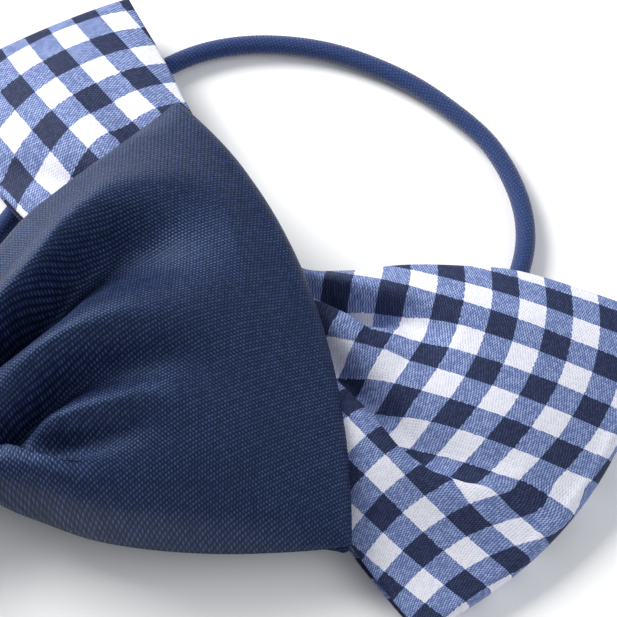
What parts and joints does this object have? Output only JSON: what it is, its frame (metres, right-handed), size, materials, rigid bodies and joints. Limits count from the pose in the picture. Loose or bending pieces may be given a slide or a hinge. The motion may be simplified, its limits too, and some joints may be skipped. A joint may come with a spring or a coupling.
{
  "type": "hair bow",
  "caption": "Layered hair bow of satin and gingham loops tied on a felt backing, with a ring of braided elastic behind the knot.",
  "frame": {"origin": "middle of the centre wrap's flat back face, which lies against the hair", "axes": "+X along the bow, +Y to its top edge, +Z out of its front"},
  "size_m": [0.161, 0.0843, 0.0207],
  "materials": {
    "satin": "navy satin weave with a soft sheen",
    "gingham": "plain woven check of white, mid blue and navy",
    "thread": "twisted sewing thread",
    "felt": "pressed wool felt",
    "elastic": "braided cover over a rubber core",
    "sleeve": "heat shrunk sleeve"
  },
  "bodies": {
    "bow": {"satin_waist": "satin", "satin_gather_thread": "thread", "centre_wrap": "satin", "wrap_stitches": "thread", "upper_loop_right": "gingham", "outer_loop_right": "gingham", "gingham_waist_right": "gingham", "gingham_thread_right": "thread", "gingham_tie_right": "satin", "backing_stitches_right": "thread", "upper_loop_left": "gingham", "outer_loop_left": "gingham", "gingham_waist_left": "gingham", "gingham_thread_left": "thread", "gingham_tie_left": "satin", "backing_stitches_left": "thread", "felt_backing": "felt"},
    "right_loop": {"satin_loop_right": "satin"},
    "left_loop": {"satin_loop_left": "satin"},
    "ring": {"elastic_band": "elastic", "elastic_sleeve": "sleeve"}
  },
  "joints": [
    {"name": "ring_swing", "type": "hinge", "parent": "bow", "child": "ring", "pos_m": [0, -0.004, 0.0022], "axis": [1, 0, 0], "range_deg": [-160, 0]},
    {"name": "right_loop_lift", "type": "hinge", "parent": "bow", "child": "right_loop", "pos_m": [0.0078, 0, 0.00985], "axis": [0, -1, 0], "range_deg": [0, 25]},
    {"name": "left_loop_lift", "type": "hinge", "parent": "bow", "child": "left_loop", "pos_m": [-0.0078, 0, 0.00985], "axis": [0, 1, 0], "range_deg": [0, 25]}
  ]
}
